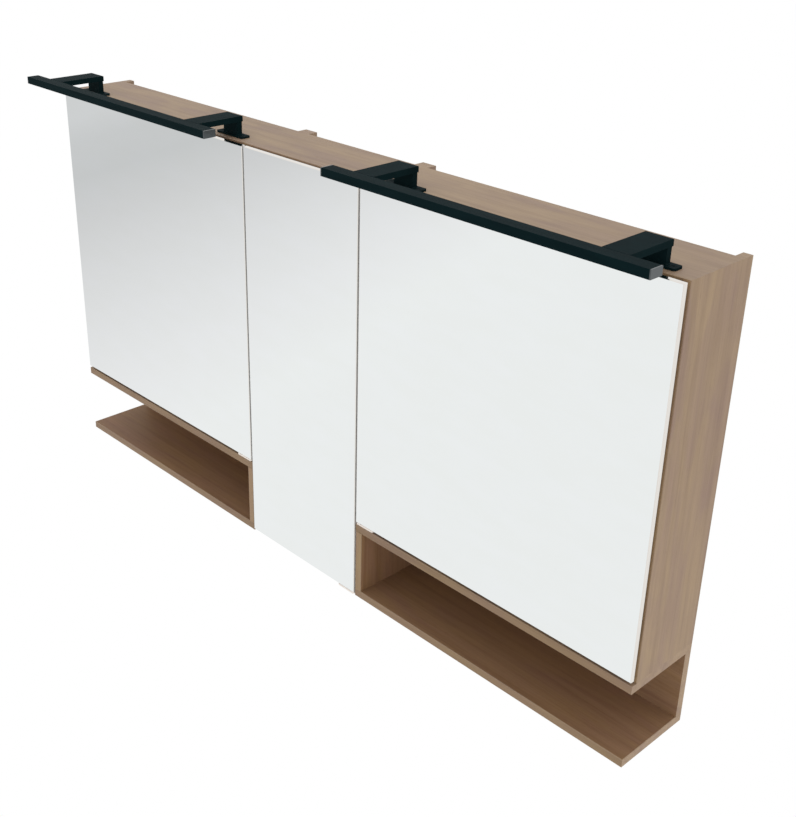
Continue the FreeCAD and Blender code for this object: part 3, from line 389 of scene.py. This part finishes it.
SATIN = 0.55
# The uprights take a darker copy of the decor than the lying boards: painted shade on their sides
OAK_UPRIGHT_PAINTED_SHADE = board_decor(
    "melamine_oak_print_upright", grain="z", sheen=SATIN, hues=("#977d6b", "#9c836b", "#a2896c"))
OAK_LYING = board_decor(
    "melamine_oak_print_lying", grain="x", sheen=SATIN, hues=("#9b826f", "#a1886f", "#a78e72"))
# Darker, redder copies with less sheen for the niches' insides: painted shade of the recesses
MATT_UPRIGHT_PAINTED_SHADE = board_decor(
    "melamine_oak_print_matt_upright", grain="z", sheen=0.05, hues=("#9b7860", "#9c7a5e", "#9e7d5c"))
MATT_LYING_PAINTED_SHADE = board_decor(
    "melamine_oak_print_matt_lying", grain="x", sheen=0.25, hues=("#93725a", "#947458", "#967656"))
# The uprights' bands are a lighter copy, painted light, and the lying boards' bands a darker one, painted
# shade
BAND_UPRIGHT_PAINTED_LIGHT = board_decor(
    "edge_band_oak_print_upright", grain="z", sheen=SATIN, hues=("#a6886b", "#a88b69", "#aa8e67"))
BAND_LYING_PAINTED_SHADE = board_decor(
    "edge_band_oak_print_lying", grain="x", sheen=SATIN, hues=("#967a62", "#987c60", "#9a7f5e"))
FINISHES = {
    "oak_decor": OAK_LYING,
    "back_hardboard": back_panel(),
    "mirror_glass": door_mirror(),
    "door_board": door_core(),
    "shelf_glass": glass_shelf(),
    "bumper_rubber": bumper(),
    "nickel_steel": plated_steel(
        "steel_nickel_plated", dark="#c6c3bc", pale="#d6d3cc", roughness=0.24, lines=(2, 30, 2)),
    "zinc_steel": plated_steel(
        "steel_zinc_plated", dark="#b4b6b8", pale="#c9cbcc", roughness=0.36, lines=(60, 2, 2)),
    "hanger_plastic": moulded_plastic(
        "nylon_white_moulded", dark="#dedcd6", pale="#e8e6e1", ior=1.53, roughness=0.45, grain=1.2),
    "catch_plastic": moulded_plastic(
        "acetal_white_moulded", dark="#d8d7d2", pale="#e3e2dd", ior=1.48, roughness=0.4, grain=1.0),
    "driver_plastic": moulded_plastic(
        "polycarbonate_white_moulded", dark="#dcdcd9", pale="#e7e7e4", ior=1.58, roughness=0.5, grain=1.4),
    "switch_plastic": moulded_plastic(
        "abs_white_moulded", dark="#dededa", pale="#e9e9e5", ior=1.54, roughness=0.42, grain=1.2),
    "rocker_plastic": moulded_plastic(
        "abs_white_gloss_moulded", dark="#e4e4e0", pale="#eeeeea", ior=1.54, roughness=0.2, grain=2.5),
    "pull_plastic": moulded_plastic(
        "abs_cream_satin_moulded", dark="#f9efe6", pale="#fdf4ec", ior=1.54, roughness=0.3, grain=1.6),
    "lamp_cap_plastic": moulded_plastic(
        "abs_black_gloss_moulded", dark="#3b4245", pale="#41484b", ior=1.54, roughness=0.16, grain=2.5),
    "lamp_aluminium": lamp_bar(),
    "lamp_steel": lamp_bracket(),
    "led_board": led_strip(),
    "lamp_diffuser": lamp_diffuser(),
}
UPRIGHT_BOARDS = ("_side", "_upright")
LYING_BOARDS = ("_board", "_niche_shelf")

for subpart in subparts:
    piece = nodes[subpart["node"]]
    finish = FINISHES[subpart["material_slot"]]
    # Upright boards take the darker copy of the decor, with painted shade
    if finish is OAK_LYING and subpart["node"].endswith(UPRIGHT_BOARDS):
        finish = OAK_UPRIGHT_PAINTED_SHADE
    piece.data.materials.clear()
    piece.data.materials.append(finish)


# Finishes of single faces

# A face is square to an axis where its normal has at least this share along it
SQUARE = 0.99


def face_finish(piece, finish, chosen):
    """Give a piece's chosen faces a finish of their own."""
    mesh = piece.data
    mesh.materials.append(finish)
    place = len(mesh.materials) - 1
    for face in mesh.polygons:
        if chosen(face):
            face.material_index = place


# The doors' outer edges are polished, and their edges along the two seams between doors are plain, the glass
# in a grey of painted shade
EDGE = door_edge()
SEAM_EDGES_WITH_PAINTED_SHADE = {"_door_mirror": pane_edge_with_painted_seam_shade(), "_door_core": FINISHES["door_board"]}
SEAM_WIDTH = 5 * MM
centre_low, centre_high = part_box("centre_door_core")
seams_from = centre_low.x - SEAM_WIDTH
seams_to = centre_high.x + SEAM_WIDTH
for cabinet in CABINETS:
    for layer, plain in SEAM_EDGES_WITH_PAINTED_SHADE.items():
        door = nodes[cabinet + layer]
        face_finish(door, EDGE, lambda face: abs(face.normal.y) < SQUARE)
        face_finish(door, plain,
                    lambda face: abs(face.normal.x) > SQUARE and seams_from < face.center.x < seams_to)

# The thin backs carry the decor's paper on the side of the compartments, in the darker upright copy with
# painted shade
for cabinet in CABINETS:
    face_finish(nodes[cabinet + "_back_panel"], OAK_UPRIGHT_PAINTED_SHADE, lambda face: face.normal.y < -SQUARE)

# The niches are faced inside with darker, redder copies of the decor with less sheen: painted shade of the
# recesses
for side in ("left", "right"):
    face_finish(nodes[side + "_niche_shelf"], MATT_LYING_PAINTED_SHADE, lambda face: face.normal.z > SQUARE)
    face_finish(nodes[side + "_niche_back"], MATT_LYING_PAINTED_SHADE, lambda face: face.normal.y < -SQUARE)
    face_finish(nodes[side + "_niche_upright"], MATT_UPRIGHT_PAINTED_SHADE, lambda face: abs(face.normal.x) > SQUARE)

# Each catch holds a magnet, which lies a little behind its front
MAGNET_RECESS = 0.4 * MM
catch_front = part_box("magnet_catches")[0].y
face_finish(nodes["magnet_catches"], catch_magnet(),
            lambda face: face.normal.y < -SQUARE and face.center.y > catch_front + MAGNET_RECESS)

# The boards' front edges are banded, the uprights' bands with painted light and the lying boards' bands with
# painted shade, and the decor of the tops runs on over the ends of the uprights
for subpart in subparts:
    board = nodes[subpart["node"]]
    if board.name.endswith(UPRIGHT_BOARDS):
        face_finish(board, BAND_UPRIGHT_PAINTED_LIGHT, lambda face: face.normal.y < -SQUARE)
        face_finish(board, OAK_LYING, lambda face: face.normal.z > SQUARE)
    elif board.name.endswith(LYING_BOARDS):
        face_finish(board, BAND_LYING_PAINTED_SHADE, lambda face: face.normal.y < -SQUARE)


# Screws

# Cross recess for a size 2 driver. The taper is the share of its width that is left at the bottom.
CROSS_ARMS = 4
CROSS_REACH = 2.2 * MM
CROSS_HALF_WIDTH = 0.55 * MM
CROSS_DEPTH = 1.3 * MM
CROSS_TAPER = 0.7
# Each cross stands at an angle of its own, which goes by the head's place and comes round in this length
CROSS_ROUND = 23 * MM
RIM_ROUND = 0.6 * MM
RIM_STEPS = 3
# A flat round face with a larger radius is a head, and one with a smaller radius is a screw's tip
HEAD_RADIUS = 2.5 * MM
# A face is round if its rim has at least so many corners, whose distances from its centre differ by
# no more than this factor
ROUND_CORNERS = 12
ROUNDNESS = 1.01
# Faces lie in one flat if the product of their normals is larger than this
PARALLEL = 0.9999
# Corners that lie closer than this are one
MERGE = 0.001 * MM
# Faces that meet at a larger angle than this keep a sharp edge
SHARP = radians(35)


def screw_heads(work):
    """The flat round faces of the screws' heads: each one's faces, rim edges and centre."""
    heads = []
    walked = set()
    for start in work.faces:
        if start in walked:
            continue
        walked.add(start)
        flat = [start]
        for face in flat:
            for other in [near for edge in face.edges for near in edge.link_faces]:
                if other not in walked and other.normal.dot(start.normal) > PARALLEL:
                    walked.add(other)
                    flat.append(other)
        inside = set(flat)
        rim = [edge for face in flat for edge in face.edges if not inside.issuperset(edge.link_faces)]
        corners = list(dict.fromkeys(corner for edge in rim for corner in edge.verts))
        if len(corners) < ROUND_CORNERS:
            continue
        centre = sum((corner.co for corner in corners), Vector()) / len(corners)
        reach = [(corner.co - centre).length for corner in corners]
        if min(reach) > HEAD_RADIUS and max(reach) < min(reach) * ROUNDNESS:
            heads.append((flat, rim, centre))
    return heads


def cut_cross(work, flat, rim, centre):
    """Cut a tapered cross recess into one head."""
    out = flat[0].normal.copy()
    turns = sum(centre) / CROSS_ROUND
    mouth = []
    bottom = []
    for arm in range(CROSS_ARMS):
        turn = Matrix.Rotation((turns + arm / CROSS_ARMS) * tau, 3, out)
        along = turn @ out.orthogonal().normalized()
        aside = out.cross(along)
        for far, off in ((CROSS_REACH, -CROSS_HALF_WIDTH), (CROSS_REACH, CROSS_HALF_WIDTH),
                         (CROSS_HALF_WIDTH, CROSS_HALF_WIDTH)):
            corner = along * far + aside * off
            mouth.append(work.verts.new(centre + corner))
            bottom.append(work.verts.new(centre + corner * CROSS_TAPER - out * CROSS_DEPTH))
    bmesh.ops.delete(work, geom=flat, context="FACES")
    lip = []
    for place, corner in enumerate(mouth):
        lip.append(work.edges.new((mouth[place - 1], corner)))
        work.faces.new((mouth[place - 1], corner, bottom[place], bottom[place - 1]))
    work.faces.new(bottom)
    bmesh.ops.triangle_fill(work, use_beauty=True, edges=rim + lip, normal=out)


def cross_headed(node):
    """Replace a node by a copy whose screw heads have a rounded rim and a cross recess.

    It gives back the new piece and the heads' centres.
    """
    mesh = nodes[node].data.copy()
    packed_normals = mesh.attributes.get("custom_normal")
    if packed_normals:
        mesh.attributes.remove(packed_normals)
    work = bmesh.new()
    work.from_mesh(mesh)
    bmesh.ops.remove_doubles(work, verts=work.verts, dist=MERGE)
    rims = [edge for flat, rim, centre in screw_heads(work) for edge in rim]
    bmesh.ops.bevel(work, geom=rims, offset=RIM_ROUND, segments=RIM_STEPS, profile=0.5, affect="EDGES")
    heads = screw_heads(work)
    for flat, rim, centre in heads:
        cut_cross(work, flat, rim, centre)
    bmesh.ops.recalc_face_normals(work, faces=work.faces)
    work.to_mesh(mesh)
    work.free()
    mesh.shade_smooth()
    mesh.set_sharp_from_angle(angle=SHARP)
    piece = bpy.data.objects.new("cross_headed_" + node, mesh)
    bpy.context.scene.collection.objects.link(piece)
    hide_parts(node)
    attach(piece, "cabinet")
    return piece, [centre for flat, rim, centre in heads]


cross_headed("cabinet_screws")
cross_headed("bracket_screws")

# The hangers' adjusting screws are steel in a plastic housing
HEAD_REACH = 4 * MM
hangers, adjusters = cross_headed("cabinet_hangers")
face_finish(hangers, FINISHES["nickel_steel"],
            lambda face: min((face.center - centre).length for centre in adjusters) < HEAD_REACH)


# Floor and room


def seen_rays(tree, path):
    """A factor of 1 for rays that see a surface directly, in a reflection or through glass."""
    seen = path.outputs["Is Camera Ray"]
    for way in ("Is Glossy Ray", "Is Transmission Ray"):
        seen = add(tree, "Math", {0: seen, 1: path.outputs[way]}, operation="MAXIMUM")
    return seen


# The cabinet hangs at this height over a wide square floor
FLOOR_DROP = 1.2
FLOOR_HALF = 20.0
# In the mirrors the floor shades to grey along this way: the product of place and way runs from start to end
SHADE_WAY = (-1.0, 0.28, 0.0)
SHADE_START = 2.0
SHADE_END = 6.9
SHADE = [(0.0, WHITE), (0.12, "#faf9fa"), (0.27, "#f1f0f1"), (0.54, "#dfdedf"), (0.7, "#d6d6d7"),
         (0.86, "#d8d8d9"), (1.0, "#dfdfe0")]


def pale_floor():
    """Pale painted concrete: white to the camera, and in the mirrors a soft grey shade far to the left."""
    material, tree, place = blank("concrete_pale_painted")
    path = add(tree, "LightPath")
    seen = seen_rays(tree, path)
    leftward = add(tree, "VectorMath", {0: place, 1: SHADE_WAY}, operation="DOT_PRODUCT").outputs["Value"]
    share = add(tree, "MapRange", {"Value": leftward, "From Min": SHADE_START, "From Max": SHADE_END})
    grey = add(tree, "ValToRGB", {"Fac": share}, stops=SHADE)
    shown = add(tree, "MixRGB", {
        "Fac": path.outputs["Is Camera Ray"], "Color1": grey, "Color2": linear(WHITE)})
    lit = add(tree, "BsdfDiffuse", {"Color": linear("#e6e6e4")})
    glow = add(tree, "Emission", {"Color": shown, "Strength": 1.0})
    add(tree, "OutputMaterial", {"Surface": add(tree, "MixShader", {0: seen, 1: lit, 2: glow})})
    return material


floor_mesh = bpy.data.meshes.new("studio_floor")
floor_mesh.from_pydata([(-FLOOR_HALF, -FLOOR_HALF, 0), (FLOOR_HALF, -FLOOR_HALF, 0),
                        (FLOOR_HALF, FLOOR_HALF, 0), (-FLOOR_HALF, FLOOR_HALF, 0)], [], [(0, 1, 2, 3)])
floor_mesh.materials.append(pale_floor())
floor = bpy.data.objects.new("studio_floor", floor_mesh)
floor.location.z = -FLOOR_DROP
bpy.context.scene.collection.objects.link(floor)

world = bpy.data.worlds.new("studio")
bpy.context.scene.world = world
world.use_nodes = True
room = world.node_tree
room.nodes.clear()
seen = seen_rays(room, add(room, "LightPath"))
fill = add(room, "Background", {"Color": linear("#f7f7f7"), "Strength": 0.95})
white = add(room, "Background", {"Color": linear(WHITE), "Strength": 1.0})
add(room, "OutputWorld", {"Surface": add(room, "MixShader", {0: seen, 1: fill, 2: white})})

# Soft boxes: place, width and power in watts. The mirrors don't show them.
SOFT_BOXES = {
    "overhead": ((0.4, -0.2, 3.4), 3.2, 6),
    "low_right": ((2.8, 0.0, -0.4), 1.6, 12),
    "low_left": ((-2.6, -0.5, 0.5), 1.4, 7),
}
AIM = Vector((0, -0.1, 0.4))
for name, (spot, width, power) in SOFT_BOXES.items():
    lamp = bpy.data.lights.new(name, "AREA")
    lamp.shape = "SQUARE"
    lamp.size = width
    lamp.energy = power
    holder = bpy.data.objects.new(name, lamp)
    holder.location = spot
    holder.rotation_euler = (AIM - Vector(spot)).to_track_quat("-Z", "Y").to_euler()
    holder.visible_glossy = False
    bpy.context.scene.collection.objects.link(holder)


# Camera from a solve on the photo's edges

# The photo's size, focal length and optical centre in its pixels
IMAGE = (796, 817)
FOCAL_PX = 1196.82
CENTRE_PX = (360.65, 369.93)
EYE = (1.49559, -1.41522, 1.31542)
# Tilt up from straight down, roll, and turn to the left of straight ahead, in degrees
TILT = 65.1118
ROLL = -0.6895
TURN = 47.1069
SENSOR = 36.0

longer_side = max(IMAGE)
lens = bpy.data.cameras.new("photo_camera")
lens.sensor_width = SENSOR
lens.lens = FOCAL_PX / longer_side * SENSOR
lens.shift_x = (IMAGE[0] / 2 - CENTRE_PX[0]) / longer_side
lens.shift_y = (CENTRE_PX[1] - IMAGE[1] / 2) / longer_side
camera = bpy.data.objects.new("photo_camera", lens)
camera.location = EYE
camera.rotation_euler = (radians(TILT), radians(ROLL), radians(TURN))
bpy.context.scene.collection.objects.link(camera)
bpy.context.scene.camera = camera

bpy.context.scene.view_settings.view_transform = "Standard"
